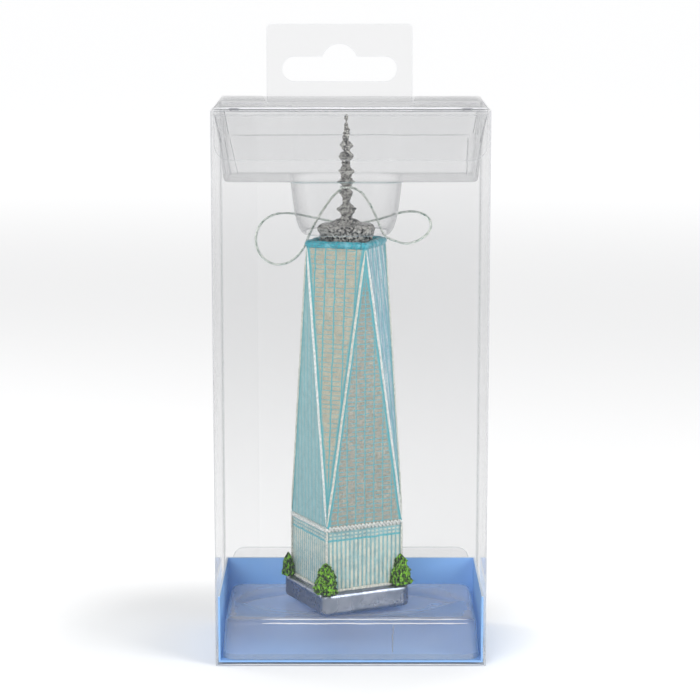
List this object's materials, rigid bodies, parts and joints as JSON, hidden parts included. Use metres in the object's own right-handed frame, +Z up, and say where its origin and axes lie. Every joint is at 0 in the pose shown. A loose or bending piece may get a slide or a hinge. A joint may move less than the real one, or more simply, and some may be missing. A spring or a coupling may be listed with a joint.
{
  "type": "souvenir christmas ornament",
  "caption": "Boxed glass ornament: a faceted tower on a plinth with small trees, a beaded spire and a cord loop, held between clear trays in a clear hang-tab carton.",
  "frame": {"origin": "centre of the carton's footprint, on its underside", "axes": "+Z up along the tower, front of the carton towards -Y, +X to the viewer's right"},
  "size_m": [0.073, 0.043, 0.171],
  "materials": {
    "clear_sheet": "clear glossy PVC sheet",
    "clear_tray": "clear glossy thermoformed sheet",
    "blue_card": "smooth printed card",
    "painted_glass": "satin painted with fine glitter",
    "silver_paint": "satin silver paint on glass",
    "frost_trim": "frosted silver-white glitter",
    "teal_trim": "gloss teal glitter paint",
    "grey_glitter": "coarse grey-silver glitter",
    "cork": "plain cork",
    "green_glitter": "coarse green glitter",
    "metallic_thread": "braided silver-grey metallic thread"
  },
  "bodies": {
    "carton": {"front_panel": "clear_sheet", "back_panel": "clear_sheet", "left_panel": "clear_sheet", "right_panel": "clear_sheet", "glue_flap": "clear_sheet", "bottom_panel": "clear_sheet", "bottom_tuck_flap": "clear_sheet", "bottom_left_dust_flap": "clear_sheet", "bottom_right_dust_flap": "clear_sheet", "upper_tray": "clear_tray", "lower_tray": "clear_tray", "card_insert": "blue_card", "tower_glass": "painted_glass", "plinth": "silver_paint", "podium_band": "frost_trim", "crown_band": "teal_trim", "spire_cap": "grey_glitter", "spire_mast": "grey_glitter", "neck_plug": "cork", "tree_front": "green_glitter", "tree_left": "green_glitter", "tree_right": "green_glitter", "tree_back": "green_glitter", "hanging_cord": "metallic_thread", "cord_knot": "metallic_thread"},
    "lid": {"lid_panel": "clear_sheet"},
    "tuck": {"tuck_flap": "clear_sheet"},
    "dust_left": {"left_dust_flap": "clear_sheet"},
    "dust_right": {"right_dust_flap": "clear_sheet"},
    "tab": {"hang_tab": "clear_sheet"}
  },
  "joints": [
    {"name": "lid_hinge", "type": "hinge", "parent": "carton", "child": "lid", "pos_m": [0, 0.02155, 0.14935], "axis": [-1, 0, 0], "range_deg": [0, 110]},
    {"name": "tuck_fold", "type": "hinge", "parent": "lid", "child": "tuck", "pos_m": [0, -0.02047, 0.1493], "axis": [1, 0, 0], "range_deg": [0, 61]},
    {"name": "left_dust_fold", "type": "hinge", "parent": "carton", "child": "dust_left", "pos_m": [-0.03615, 0, 0.1493], "axis": [0, -1, 0], "range_deg": [0, 45]},
    {"name": "right_dust_fold", "type": "hinge", "parent": "carton", "child": "dust_right", "pos_m": [0.03615, 0, 0.1493], "axis": [0, 1, 0], "range_deg": [0, 45]},
    {"name": "hang_tab_fold", "type": "hinge", "parent": "carton", "child": "tab", "pos_m": [-0.0031, 0.02155, 0.14935], "axis": [-1, 0, 0], "range_deg": [0, 175]}
  ],
  "couplings": [
    {"joint": "tuck_fold", "follows": "lid_hinge", "ratio": 0.55},
    {"joint": "left_dust_fold", "follows": "lid_hinge", "ratio": 0.4},
    {"joint": "right_dust_fold", "follows": "lid_hinge", "ratio": 0.4}
  ]
}
